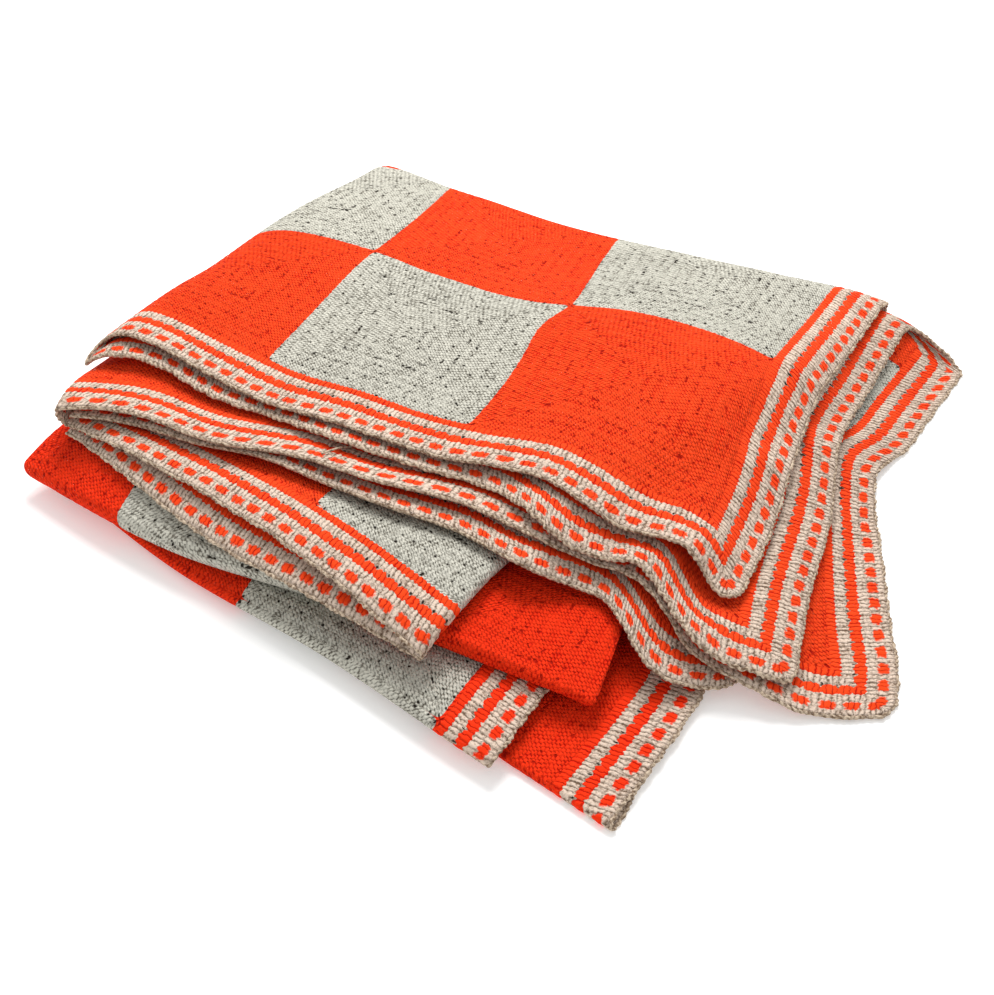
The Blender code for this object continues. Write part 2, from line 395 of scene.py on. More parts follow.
def round_corner(points, hem):
    """Draw a layer's free near-right corner in to a round one."""
    left = points[0, -CORNER_POINTS] - points[0, -1]
    back = points[CORNER_POINTS, -1] - points[0, -1]
    inner = np.maximum(CORNER - hem, 0.0)
    far, length = inner.max(axis=-1), np.maximum(np.hypot(inner[..., 0], inner[..., 1]), 1e-9)
    pull = np.where(inner.min(axis=-1) > 0, 1 - far / length, 0.0)[..., None]
    step = inner[..., :1] * left / np.linalg.norm(left) + inner[..., 1:] * back / np.linalg.norm(back)
    return points + pull * step


def row_relief(hem, squares):
    """How the border's rows and the squares' rounds stand out, in metres."""
    inward = hem.min(axis=-1)
    edges = np.array(ROW_EDGES)
    row = np.clip(np.searchsorted(edges, inward, side="right") - 1, 0, len(edges) - 2)
    share = np.clip((inward - edges[row]) / (edges[row + 1] - edges[row]), 0, 1)
    border = ROW_PUFF * (np.sin(np.pi * share) ** PUFF_POWER - PUFF_SUNK)
    out = np.abs(squares - np.floor(squares) - 0.5).max(axis=-1) * SQUARE / ROUND
    rounds = ROUND_PUFF * (np.sin(np.pi * (out - np.floor(out))) ** PUFF_POWER - PUFF_SUNK)
    return np.where(inward < BORDER, border, rounds)


def turn_rows(upper, lower, out, stand):
    """The rows of points of a turn, from just under the upper side to the lower one."""
    high = np.abs(upper[:, 2] - lower[:, 2]).max()
    cells = int(np.clip(np.ceil(TURN_ROUND * high / TURN_CELL), *TURN_CELLS))
    middle, half = (upper + lower) / 2, (upper - lower) / 2
    reach = stand * (upper[:, 2:] - lower[:, 2:])
    angles = np.pi * np.arange(1, cells + 1) / cells
    return np.stack([middle + half * np.cos(a) + reach * np.sin(a) * np.array(out, float) for a in angles])


def side_of(grid, side):
    """One side's row of entries of a grid."""
    return {"left": grid[:, 0], "right": grid[:, -1], "near": grid[0], "back": grid[-1]}[side]


class Crochet:
    """The mesh of one layer with the turns that start from it."""

    def __init__(self, name):
        column_step, row_step, fine, far_step = SPACING[name]
        middles = surface(name, np.array([0.0, 1.0, 0.5, 0.5]), np.array([0.5, 0.5, 0.0, 1.0]))
        wide, deep = middles[1, 0] - middles[0, 0], middles[3, 1] - middles[2, 1]
        self.s_parts = np.linspace(0, 1, round(wide / column_step))
        self.t_parts = spaced(deep, row_step, fine, far_step)
        t, s = np.meshgrid(self.t_parts, self.s_parts, indexing="ij")
        points = surface(name, s, t)
        hem = hem_distances(name, points)
        squares = square_numbers(name, points, s, t, hem)
        if {"right", "near"} <= set(FREE_SIDES[name]):
            points = round_corner(points, hem)
        self.name = name
        self.turned = [0.0, 0.0]
        self.turn_ends = {side: np.empty((0, 3)) for side in SIDES}
        self.points = [points.reshape(-1, 3)]
        self.hem = [hem.reshape(-1, 2)]
        self.squares = [squares.reshape(-1, 2)]
        self.ids = np.arange(points[..., 0].size).reshape(points.shape[:2])
        self.grid = {"points": points, "hem": hem, "squares": squares}
        self.quads = [quads_of(self.ids)]
        self.count = self.ids.size
        for upper, lower, side, stand in TURNS:
            if upper == name:
                self.add_turn(lower, side, stand)

    def add_turn(self, lower, side, stand):
        """The turn from one side of this layer down to the same side of a lower one."""
        start = side_of(self.grid["points"], side)
        if side in ("left", "right"):
            s, t = np.full_like(self.t_parts, float(side == "right")), self.t_parts
        else:
            s, t = self.s_parts, np.full_like(self.s_parts, float(side == "back"))
        out, way = SIDES[side]
        rows = turn_rows(start, surface(lower, s, t), out, stand)
        self.turn_ends[side] = rows[:, 0 if side in ("left", "right") else -1]
        run = run_along(np.concatenate([start[None], rows]), 0)[1:]
        step = run[..., None] * np.array(way, float)
        hem = side_of(self.grid["hem"], side)[None]
        hem = hem + step * (hem < FAR)
        squares = side_of(self.grid["squares"], side)[None] + step / SQUARE
        new = np.arange(self.count, self.count + rows[..., 0].size).reshape(rows.shape[:2])
        self.count += new.size
        self.points.append(rows.reshape(-1, 3))
        self.hem.append(np.broadcast_to(hem, rows.shape[:2] + (2,)).reshape(-1, 2))
        self.squares.append(squares.reshape(-1, 2))
        ids = np.concatenate([side_of(self.ids, side)[None], new])
        if side == "near":
            ids = ids[::-1]
        elif side == "left":
            ids = ids[::-1].T
        elif side == "right":
            ids = ids.T
        self.quads.append(quads_of(ids))
        self.turned[side in ("near", "back")] += float(run[-1].mean())

    def object(self, material):
        """The layer as a mesh object with its crochet's thickness."""
        points, hem, squares = (np.concatenate(parts) for parts in (self.points, self.hem, self.squares))
        quads = np.concatenate(self.quads)
        points = points + vertex_normals(points, quads) * row_relief(hem, squares)[:, None]
        piece = mesh_object(self.name + "_layer", points, quads.tolist(), material)
        for label, values in (("squares", squares), ("hem", hem)):
            attribute = piece.data.attributes.new(label, "FLOAT_VECTOR", "POINT")
            vectors = np.pad(values, ((0, 0), (0, 1))).astype(np.float32)
            attribute.data.foreach_set("vector", vectors.ravel())
        shell = piece.modifiers.new("yarn", "SOLIDIFY")
        shell.thickness = YARN_DEEP
        shell.offset = 0.0
        return piece


def quads_of(ids):
    """The faces of a grid of vertex numbers."""
    return np.stack([ids[:-1, :-1], ids[:-1, 1:], ids[1:, 1:], ids[1:, :-1]], axis=-1).reshape(-1, 4)


def vertex_normals(points, quads):
    """The way each vertex faces."""
    a, b, c, d = (points[quads[:, i]] for i in range(4))
    faces = np.cross(c - a, d - b)
    normals = np.zeros_like(points)
    for i in range(4):
        np.add.at(normals, quads[:, i], faces)
    return normals / np.maximum(np.linalg.norm(normals, axis=1, keepdims=True), 1e-12)


def mesh_object(name, points, faces, material):
    """A smooth mesh object, moved from the pile's coordinates to the frame's."""
    mesh = bpy.data.meshes.new(name)
    placed = points - np.array([PILE_MIDDLE[0], PILE_MIDDLE[1], 0.0])
    mesh.from_pydata(placed.tolist(), [], faces)
    mesh.materials.append(material)
    mesh.shade_smooth()
    piece = bpy.data.objects.new(name, mesh)
    bpy.context.scene.collection.objects.link(piece)
    return piece


def edge_line(layer):
    """A layer's free edge, on round the turns at its ends, evenly cut, with how far along each point is."""
    free, points, ends = FREE_SIDES[layer.name], layer.grid["points"], layer.turn_ends
    if "right" not in free:
        parts = [ends["right"][::-1], points[0, ::-1], ends["left"]]
    elif "near" in free:
        parts = [ends["back"][::-1], points[::-1, -1], points[0, -2::-1], ends["left"]]
    else:
        parts = [ends["back"][::-1], points[::-1, -1], ends["near"]]
    line = np.concatenate(parts)
    run = run_along(line[None], 1)[0]
    even = np.arange(0, run[-1], CHAIN / CHAIN_POINTS)
    return np.stack([np.interp(even, run, line[:, i]) for i in range(3)], axis=-1), even


def frames(line):
    """The two ways square to a line at each of its points, which turn as little as can be along it."""
    ahead = np.gradient(line, axis=0)
    ahead /= np.linalg.norm(ahead, axis=1, keepdims=True)
    across = np.empty_like(ahead)
    across[0] = np.cross(ahead[0], (0.0, 0.0, 1.0))
    for i, way in enumerate(ahead[1:], start=1):
        across[i] = across[i - 1] - way * (across[i - 1] @ way)
        across[i] /= np.linalg.norm(across[i])
    return across, np.cross(across, ahead)


def chain_edge(layer, material):
    """The chain stitches along a layer's free edge: slanting overlapping links, closed at both ends."""
    line, run = edge_line(layer)
    across, up = frames(line)
    uneven, pace = CHAIN_UNEVEN
    beat = run / CHAIN + uneven * np.sin(run * pace)
    far, fast, vary, slow = CHAIN_SWAY
    lean = CHAIN_LEAN * np.sin(2 * np.pi * beat) + far * np.sin(run * fast + vary * np.sin(run * slow))
    angles = np.linspace(0, 2 * np.pi, CHAIN_SIDES + 1)[:-1]
    swell = np.abs(np.sin(np.pi * beat[:, None] + angles)) ** CHAIN_FULL
    knob = CHAIN_THICK * (CHAIN_WAIST + CHAIN_BULGE * swell)
    side, rise = knob * np.cos(angles) * CHAIN_FLAT + lean[:, None], knob * np.sin(angles)
    return tube(layer.name + "_edge", line, across, up, side, rise, swell, material)


def tube(name, line, across, up, side, rise, swell, material):
    """A closed tube round a line, out by side and rise at each angle. Swell is 1 on the yarn's crests."""
    points = line[:, None] + across[:, None] * side[..., None] + up[:, None] * rise[..., None]
    ids = np.arange(swell.size).reshape(swell.shape)
    faces = quads_of(np.hstack([ids, ids[:, :1]])).tolist() + [ids[0, ::-1].tolist(), ids[-1].tolist()]
    piece = mesh_object(name, points.reshape(-1, 3), faces, material)
    attribute = piece.data.attributes.new("swell", "FLOAT", "POINT")
    attribute.data.foreach_set("value", swell.ravel().astype(np.float32))
    return piece


# The yarn's colours, as they show in the photograph, and the darker ones, which are painted shade down
# between the stitches and in the holes.
ORANGE, ORANGE_PIT_SHADE, ORANGE_HOLE_SHADE = "#FF4A1C", "#C81200", "#B81400"
ORANGE_SHADED_LAYERS = "#FF3812"  # a redder copy of the orange for the lower layers, which paints the deep red of their shade
LOWER = ("floor", "sole", "low_under", "low", "roll_under", "roll")
GREY, GREY_PIT_SHADE, GREY_HOLE_SHADE = "#D4D1C3", "#706B5F", "#2C261F"
CREAM, CREAM_PIT_SHADE = "#E4CEBB", "#7C6450"
CHAIN_CREAM = "#D6C2AA"  # the cream of the chain edge, which looks a little browner
FLOOR_WHITE, FLOOR_LIGHT = "#F8F8F7", "#FFFFFF"
FLOOR_GLOW = 0.25  # the floor's own light, which keeps the shadow on it pale

# The stitches, in millimetres where nothing else is said.
STITCH = 5.0  # one stitch along its row
STRAND = 6.0  # one wrap of the yarn round a stitch, of which a round has two
GROUP = 13.5  # three stitches, in which the border's outer orange row is worked
WANDER = 4.0  # how far stitches wander off their rows
SLANT = 0.50  # how far a wrap leans, as a part of its length
KNOB_POWER = 2.4  # how square a stitch's knob is
KNOB_END = 0.50  # how much lower it is at its ends, as a part of its height
GROOVE_HALF = 2.0  # half the groove where two rounds meet
GROOVE_DEEP = 0.60  # its depth, as a part of a knob's height
SEAM_WANDER = 0.012  # how far a seam wanders, as a part of a square
SEAM_LEAST = 0.002  # a place counts as this far into the first square at least, so that none comes before it
GREY_POWER = 40.0  # how sharp a grey square's corners are; orange fills what they leave
WRAPS_APART = 7.0  # between the numbers of two rows, so that each wrap has a number of its own

# The border, in millimetres where nothing else is said.
EDGE_WANDER = (3.0, 3.6)  # how far its rows wander, along and across
TOOTH = 0.60  # how far a colour reaches in between two stitches, as a part of half a stitch
NOTCH_POWER = 3.0  # how narrow a notch between two groups is
INNER_NOTCH = (37.0, 4.0, 4.2)  # on the outer orange row's inner side: its place, its reach and its depth
OUTER_NOTCH = (27.0, 2.5, -2.0)  # the same on its outer side
GAP_PLACE = 37.5  # where the hole between two groups lies
GAP_SHAPE = 0.35  # its width over its length, squared
DOT_PITCH = 21.0  # from one orange dot to the next
DOT_HALF = (7.0, 5.4)  # half a dot's size along and across its row
DOT_ROW = 1  # the row that holds the dots, counted from 0 at the edge
DOT_WANDER = (5.0, 0.9)  # how far a dot wanders along its row, and across it as a part of its half size
DOT_TOOTH = 0.10  # how far the stitches notch a dot
DOT_POWER = 3.6  # how square a dot is
DOT_FADE = (-1.1, 1.65)  # how its colour falls off outwards, and how much there would be in its middle
ORANGE_ROWS = (3, 5)  # those that are orange all along
FIRST_ROW = 20.0  # its rows are numbered from here, so that they share no chance with the squares' rounds

# The holes, in millimetres where nothing else is said.
CORNER_HOLE = 9.6  # where the one at a round's corner lies in its round
STAR_OUT = 78.0  # how far the star's holes lie from the middle of the square, outwards and sideways together
STAR_HOLE = 10.8  # where they lie in their round
STAR_SHAPE = 0.5  # their width over their length, squared
SPECK_HOLE = 10.6  # where one beside a group lies in its round
PLANNED_MORE = 0.5  # how much larger those at corners and in the star are
FAR_OFF = 50.0  # further than any hole reaches
SPECKLESS = 0.55  # the share of the groups that have no hole beside them
HOLE_HALF = (1.5, 1.3)  # half a hole's width: what chance adds, and the least of it
HOLE_RAGGED = 1.6  # how far fibre reaches into it
HOLE_RIM = 1.25  # how sharp its rim is
HOLE_DEEP = 0.6  # its depth, as a part of a knob's height

# How high and how light the yarn is, as parts of a knob's height and of the way from the dark colour to the
# light one. The lightness follows the knobs, which paints shade into the pits between the stitches.
FIBRE_HIGH, TONE_HIGH, KNOB_SUNK = 0.70, 0.30, 0.42  # what fibre and chance add, and what comes off for them
FLECK = (3.6, -1.8)  # noise spread out evenly about 0
PATCH = (5.0, -1.5)  # noise spread out, for patches where the painted shade between the stitches shows more
PATCH_LEAST, PATCH_MOST = 0.35, 1.15
CREST = 0.72  # the height of a knob that looks the same in all patches
CONTRAST = 1.45  # how strongly crests and pits show, as painted light and shade
CLOUD_LIGHT, TONE_LIGHT, LIGHT_OFF = 0.60, 0.24, 0.42  # what clouds and chance add, and what comes off
MARL_MIDDLE, MARL_SHARE = 0.30, 0.80  # grey and cream wool shows this share of that lightness with its painted shade, about this light
MARL_FLECK, MARL_TONE, MARL_OFF = 1.0, 0.20, 0.05  # what flecks and chance add there, and what comes off
BORDER_CALM = 0.35  # how much calmer the border's tight rows are

# Noise on the cloth: its scale in blots a millimetre, and its finer layers. A fleck is about 3 mm wide and a
# fibre 2 mm, coarser than real ones, so that they show. A patch is 18 mm wide and a cloud 55 mm. Rows wander
# over 9 mm and shake over 4 mm.
NOISES = (("fleck", 0.34, 3.0), ("fibre", 0.58, 3.0), ("cloud", 0.018, 2.0), ("patch", 0.055, 2.0))
NOISE_ROUGH = 0.65
WANDERS = (("wander", 0.11, "xy"), ("shake", 0.26, "xyz"))
WANDER_LAYERS = 2.0
RELIEF = 0.0020  # the height of a knob in the relief, in metres

# The same for the chain, in blots a metre: flecks of 3 mm and fibre of 1 mm.
CHAIN_FLECKS, CHAIN_FIBRES = (330.0, 4.0), (900.0, 3.0)
CHAIN_MARL = (4.4, -2.3)  # noise spread out, from its painted-shade colour to its light one
CHAIN_CREST_HIGHLIGHT = 0.9  # how much lighter its crests are: painted light on the crests, painted shade in the gaps
CHAIN_RELIEF = 0.0009

MIX_FROM, MIX_TO, MIXED = 6, 7, 2  # the sockets of a Mix node that hold its colours

# The studio, in metres, degrees and watts, in the frame's coordinates.
FLOOR_HALF = 6
ALL_ROUND_LIGHT = 0.66
WINDOW_PLACE, WINDOW_WIDE, WINDOW_POWER = (-0.7, 1.5, 2.1), 1.6, 79.0
VIEW_TURN, VIEW_DOWN, VIEW_AWAY = 26.0, 40.0, 1.43
VIEW_AIM = 0.05  # the height that the camera looks at
VIEW_LENS, VIEW_SENSOR = 54.33, 36.0  # in millimetres


def linear(text):
    """An sRGB hex colour as linear values."""
    parts = [int(text[i : i + 2], 16) / 255 for i in (1, 3, 5)]
    return (*[p / 12.92 if p <= 0.04045 else ((p + 0.055) / 1.055) ** 2.4 for p in parts], 1.0)


def add_node(tree, kind, inputs=(), **settings):
    """A new node with its settings, and its inputs set to values or linked to other nodes' outputs."""
    node = tree.nodes.new(kind)
    for label, value in settings.items():
        setattr(node, label, value)
    for socket, value in dict(inputs).items():
        if isinstance(value, bpy.types.NodeSocket):
            tree.links.new(value, node.inputs[socket])
        else:
            node.inputs[socket].default_value = value
    return node


def add_steps(tree, steps, known):
    """One Math node for each step of a sum; each result is kept under its name for the steps after it."""
    for name, operation, *values in steps:
        inputs = {i: known.get(v, v) if isinstance(v, str) else v for i, v in enumerate(values)}
        known[name] = add_node(tree, "ShaderNodeMath", inputs, operation=operation).outputs[0]
    return known


def for_both(*steps):
    """The same steps for x and for y, either of which a star in their names stands for."""
    return tuple(
        tuple(value.replace("*", way) if isinstance(value, str) else value for value in step)
        for step in steps
        for way in "xy"
    )


# Where a point is in its square: how far out from the middle, and how far along its round.
SQUARE_STEPS = (
    *for_both(
        ("*", "MULTIPLY_ADD", "place_*", SQUARE * 1000, -SQUARE * 500),
        ("*", "WRAP", "*", SQUARE * 500, -SQUARE * 500),
        ("off_*", "ABSOLUTE", "*"),
    ),
    ("out", "MAXIMUM", "off_x", "off_y"),
    ("at_side", "GREATER_THAN", "off_x", "off_y"),
    ("swap", "SUBTRACT", "y", "x"),
    ("lane", "MULTIPLY_ADD", "swap", "at_side", "x"),
    ("from_corner", "SUBTRACT", "off_x", "off_y"),
    ("row", "DIVIDE", "out", ROUND * 1000),
    ("row", "FLOOR", "row"),
    ("row_from", "MULTIPLY", "row", -ROUND * 1000),
    ("rise", "ADD", "out", "row_from"),
    *for_both(
        ("square_*", "MULTIPLY_ADD", "shake_*", SEAM_WANDER, "place_*"),
        ("square_*", "MAXIMUM", "square_*", SEAM_LEAST),
        ("square_*", "FLOOR", "square_*"),
    ),
    ("count", "ADD", "square_x", "square_y"),
    ("count", "FLOORED_MODULO", "count", 2.0),
    ("orange_square", "LESS_THAN", "count", 0.5),
    *for_both(
        ("round_*", "DIVIDE", "off_*", SQUARE * 500),
        ("round_*", "POWER", "round_*", GREY_POWER),
    ),
    ("in_corner", "ADD", "round_x", "round_y"),
    ("in_corner", "GREATER_THAN", "in_corner", 1.0),
    ("orange_square", "MAXIMUM", "orange_square", "in_corner"),
)

# Where a point is in the border: how far in from the edge, and how far along.
BORDER_STEPS = (
    ("right", "MULTIPLY", "from_right", 1000.0),
    ("near", "MULTIPLY", "from_near", 1000.0),
    ("inward", "MINIMUM", "right", "near"),
    ("by_right", "LESS_THAN", "right", "near"),
    *for_both(("long_*", "MULTIPLY", "place_*", SQUARE * 1000)),
    ("swap_long", "SUBTRACT", "long_y", "long_x"),
    ("edge_lane", "MULTIPLY_ADD", "swap_long", "by_right", "long_x"),
    ("edge_lane", "MULTIPLY_ADD", "shake_x", EDGE_WANDER[0], "edge_lane"),
    ("inward", "MULTIPLY_ADD", "shake_y", EDGE_WANDER[1], "inward"),
    ("tooth", "PINGPONG", "edge_lane", STITCH / 2),
    ("toothed", "MULTIPLY_ADD", "tooth", TOOTH, "inward"),
    ("toothed", "SUBTRACT", "toothed", TOOTH * STITCH / 4),
    ("in_group", "WRAP", "edge_lane", GROUP / 2, -GROUP / 2),
    ("in_group", "ABSOLUTE", "in_group"),
    ("notch", "DIVIDE", "in_group", GROUP / 2),
    ("notch", "POWER", "notch", NOTCH_POWER),
    ("teeth", "COMPARE", "inward", INNER_NOTCH[0], INNER_NOTCH[1]),
    ("teeth", "MULTIPLY", "notch", "teeth"),
    ("toothed", "MULTIPLY_ADD", "teeth", INNER_NOTCH[2], "toothed"),
    ("heel", "COMPARE", "inward", OUTER_NOTCH[0], OUTER_NOTCH[1]),
    ("heel", "MULTIPLY", "notch", "heel"),
    ("toothed", "MULTIPLY_ADD", "heel", OUTER_NOTCH[2], "toothed"),
    ("block_gap", "SUBTRACT", GROUP / 2, "in_group"),
    ("block_gap", "MULTIPLY", "block_gap", "block_gap"),
    ("block_end", "SUBTRACT", "inward", GAP_PLACE),
    ("block_end", "MULTIPLY", "block_end", "block_end"),
    ("block_gap", "MULTIPLY_ADD", "block_end", GAP_SHAPE, "block_gap"),
    ("block_gap", "SQRT", "block_gap"),
    ("edge_row", "ADD", 0.0, 0.0),  # the two sums that row_steps goes on with
    ("edge_from", "ADD", 0.0, 0.0),
)


def row_steps():
    """Steps that find a point's border row and where that row begins."""
    steps = []
    edges = [1000 * e for e in ROW_EDGES]
    for number, (before, edge) in enumerate(zip(edges, edges[1:-1]), start=1):
        past = f"past_{number}"
        steps += [
            (past, "GREATER_THAN", "toothed", edge),
            ("edge_row", "ADD", "edge_row", past),
            ("edge_from", "MULTIPLY_ADD", past, edge - before, "edge_from"),
        ]
    steps += [(f"is_{number}", "COMPARE", "edge_row", float(number), 0.5) for number in ORANGE_ROWS]
    return tuple(steps)


# The dots of the border, and which of border and square a point takes its colour and stitches from.
CHOICE_STEPS = (
    ("edge_rise", "SUBTRACT", "toothed", "edge_from"),
    ("dot_x", "WRAP", "edge_lane", DOT_PITCH / 2, -DOT_PITCH / 2),
    ("dot_x", "MULTIPLY_ADD", "shake_x", DOT_WANDER[0], "dot_x"),
    ("dot_x", "DIVIDE", "dot_x", DOT_HALF[0]),
    ("dot_y", "SUBTRACT", "inward", 500 * (ROW_EDGES[DOT_ROW] + ROW_EDGES[DOT_ROW + 1])),
    ("dot_y", "DIVIDE", "dot_y", DOT_HALF[1]),
    ("dot_y", "MULTIPLY_ADD", "shake_z", DOT_WANDER[1], "dot_y"),
    *for_both(("dot_*", "ABSOLUTE", "dot_*")),
    ("dot_y", "MULTIPLY_ADD", "tooth", DOT_TOOTH, "dot_y"),
    *for_both(("dot_*", "POWER", "dot_*", DOT_POWER)),
    ("dot", "ADD", "dot_x", "dot_y"),
    ("dot", "MULTIPLY_ADD", "dot", *DOT_FADE),
    ("dot", "MINIMUM", "dot", 1.0),
    ("dot", "MAXIMUM", "dot", 0.0),
    ("orange_row", "ADD", "is_3", "is_5"),
    ("orange_row", "MAXIMUM", "orange_row", "dot"),
    ("in_border", "LESS_THAN", "toothed", 1000 * BORDER),
    ("swap_colour", "SUBTRACT", "orange_row", "orange_square"),
    ("orange", "MULTIPLY_ADD", "swap_colour", "in_border", "orange_square"),
    ("swap_lane", "SUBTRACT", "edge_lane", "lane"),
    ("lane", "MULTIPLY_ADD", "swap_lane", "in_border", "lane"),
    ("swap_rise", "SUBTRACT", "edge_rise", "rise"),
    ("rise", "MULTIPLY_ADD", "swap_rise", "in_border", "rise"),
    ("edge_row", "ADD", "edge_row", FIRST_ROW),
    ("swap_row", "SUBTRACT", "edge_row", "row"),
    ("row", "MULTIPLY_ADD", "swap_row", "in_border", "row"),
    ("in_square", "SUBTRACT", 1.0, "in_border"),
)

# The shape of the stitches: each one is a small knob of slanting yarn, set like bricks, with a groove where
# two rounds meet and a gap at its corners. The whole lot wanders a little, as handwork does.
STITCH_STEPS = (
    ("lane", "MULTIPLY_ADD", "wander_x", WANDER, "lane"),
    ("rise", "MULTIPLY_ADD", "wander_y", WANDER, "rise"),
    ("wrap", "DIVIDE", "rise", STRAND),
    ("wrap", "FLOOR", "wrap"),
    ("across_wrap", "WRAP", "rise", STRAND / 2, -STRAND / 2),
    ("wrap", "MULTIPLY", "wrap", "in_square"),
    ("across_wrap", "MULTIPLY", "across_wrap", "in_square"),
    ("brick", "MULTIPLY_ADD", "wrap", STITCH / 2, "lane"),
    ("brick", "MULTIPLY_ADD", "across_wrap", SLANT, "brick"),
    ("column", "DIVIDE", "brick", STITCH),
    ("column", "FLOOR", "column"),
    ("side", "WRAP", "brick", STITCH / 2, -STITCH / 2),
    ("side", "DIVIDE", "side", STITCH / 2),
    ("side", "ABSOLUTE", "side"),
    ("side", "POWER", "side", KNOB_POWER),
    ("end", "DIVIDE", "across_wrap", STRAND / 2),
    ("end", "ABSOLUTE", "end"),
    ("end", "POWER", "end", KNOB_POWER),
    ("side", "SUBTRACT", 1.0, "side"),
    ("end", "SUBTRACT", 1.0, "end"),
    ("end", "MULTIPLY_ADD", "end", KNOB_END, 1.0 - KNOB_END),
    ("knob", "MULTIPLY", "side", "end"),
    ("groove", "PINGPONG", "rise", ROUND * 500),
    ("groove", "DIVIDE", "groove", GROOVE_HALF),
    ("groove", "MINIMUM", "groove", 1.0),
    ("groove", "MULTIPLY_ADD", "groove", GROOVE_DEEP, 1.0 - GROOVE_DEEP),
    ("knob", "MULTIPLY", "knob", "groove"),
)

# Small holes: at each round's corners, in a star round the middle of a square, between the border's groups,
# and here and there beside a group of stitches in a round.
HOLE_STEPS = (
    ("corner_y", "SUBTRACT", "rise", CORNER_HOLE),
    ("corner", "POWER", "from_corner", 2.0),
    ("corner_y", "POWER", "corner_y", 2.0),
    ("corner", "ADD", "corner", "corner_y"),
    ("corner", "SQRT", "corner"),
    ("lane_off", "MINIMUM", "off_x", "off_y"),
    ("star", "ADD", "out", "lane_off"),
    ("star", "SUBTRACT", "star", STAR_OUT),
    ("star", "POWER", "star", 2.0),
    ("star_y", "SUBTRACT", "rise", STAR_HOLE),
    ("star_y", "POWER", "star_y", 2.0),
    ("star", "MULTIPLY_ADD", "star", STAR_SHAPE, "star_y"),
    ("star", "SQRT", "star"),
    ("near_hole", "MINIMUM", "corner", "star"),
    ("near_hole", "SUBTRACT", "near_hole", PLANNED_MORE),
    ("outside", "MULTIPLY", "in_border", FAR_OFF),
    ("inside", "MULTIPLY", "in_square", FAR_OFF),
    ("near_hole", "ADD", "near_hole", "outside"),
    ("block_gap", "ADD", "block_gap", "inside"),
    ("near_hole", "MINIMUM", "near_hole", "block_gap"),
    ("speck_x", "WRAP", "lane", GROUP / 2, -GROUP / 2),
    ("speck_x", "POWER", "speck_x", 2.0),
    ("speck_y", "SUBTRACT", "rise", SPECK_HOLE),
    ("speck_y", "POWER", "speck_y", 2.0),
    ("speck", "ADD", "speck_x", "speck_y"),
    ("speck", "SQRT", "speck"),
    ("group", "DIVIDE", "lane", GROUP),
    ("group", "ADD", "group", 0.5),
    ("group", "FLOOR", "group"),
)

# What chance and noise do: which groups have a hole beside them and how wide each hole is, the height and the
# light of each stitch, with painted shade in its pits, and less of both in the border.
CHANCE_STEPS = (
    ("no_speck", "LESS_THAN", "chance", SPECKLESS),
    ("no_speck", "MAXIMUM", "no_speck", "in_border"),
    ("speck", "MULTIPLY_ADD", "no_speck", FAR_OFF, "speck"),
    ("near_hole", "MINIMUM", "near_hole", "speck"),
    ("near_hole", "MULTIPLY_ADD", "fibre", HOLE_RAGGED, "near_hole"),
    ("wide", "MULTIPLY_ADD", "chance", *HOLE_HALF),
    ("hole", "SUBTRACT", "wide", "near_hole"),
    ("hole", "MULTIPLY", "hole", HOLE_RIM),
    ("hole", "MINIMUM", "hole", 1.0),
    ("hole", "MAXIMUM", "hole", 0.0),
    ("knob", "MULTIPLY_ADD", "fibre", FIBRE_HIGH, "knob"),
    ("knob", "MULTIPLY_ADD", "tone", TONE_HIGH, "knob"),
    ("knob", "SUBTRACT", "knob", KNOB_SUNK),
    ("fleck", "MULTIPLY_ADD", "fleck", *FLECK),
    ("patch", "MULTIPLY_ADD", "patch", *PATCH),
    ("patch", "MAXIMUM", "patch", PATCH_LEAST),
    ("patch", "MINIMUM", "patch", PATCH_MOST),
    # Painted shade: the colour darkens with the knob's height, down into the pits between the stitches.
    ("pit", "SUBTRACT", "knob", CREST),
    ("light", "MULTIPLY_ADD", "pit", "patch", CREST),
    ("light", "MULTIPLY", "light", CONTRAST),
    ("light", "MULTIPLY_ADD", "cloud", CLOUD_LIGHT, "light"),
    ("light", "MULTIPLY_ADD", "tone", TONE_LIGHT, "light"),
    ("light", "SUBTRACT", "light", LIGHT_OFF),
    ("marl_and_shade", "SUBTRACT", "light", MARL_MIDDLE),
    ("rib", "MULTIPLY_ADD", "in_border", -BORDER_CALM, MARL_SHARE),
    ("marl_and_shade", "MULTIPLY", "marl_and_shade", "rib"),
    ("marl_and_shade", "ADD", "marl_and_shade", MARL_MIDDLE),
    ("marl_and_shade", "MULTIPLY_ADD", "fleck", MARL_FLECK, "marl_and_shade"),
    ("marl_and_shade", "MULTIPLY_ADD", "tone", MARL_TONE, "marl_and_shade"),
    ("marl_and_shade", "SUBTRACT", "marl_and_shade", MARL_OFF),
    ("height", "MULTIPLY_ADD", "hole", -HOLE_DEEP, "knob"),
    ("flatter", "MULTIPLY_ADD", "in_border", -BORDER_CALM, 1.0),
    ("height", "MULTIPLY", "height", "flatter"),
)


def new_material(name):
    """A material with an empty node tree."""
    material = bpy.data.materials.new(name)
    material.use_nodes = True
    material.node_tree.nodes.clear()
    return material, material.node_tree


def cloth_places(tree):
    """A point's squares and its distances from the edges, and its place on the flat cloth in millimetres."""
    squares = add_node(tree, "ShaderNodeAttribute", attribute_name="squares").outputs["Vector"]
    hem = add_node(tree, "ShaderNodeAttribute", attribute_name="hem").outputs["Vector"]
    place = add_node(tree, "ShaderNodeSeparateXYZ", {0: squares}).outputs
    edge = add_node(tree, "ShaderNodeSeparateXYZ", {0: hem}).outputs
    on_cloth = add_node(
        tree, "ShaderNodeVectorMath", {0: squares, "Scale": SQUARE * 1000}, operation="SCALE"
    ).outputs[0]
    return {"place_x": place[0], "place_y": place[1], "from_right": edge[0], "from_near": edge[1]}, on_cloth


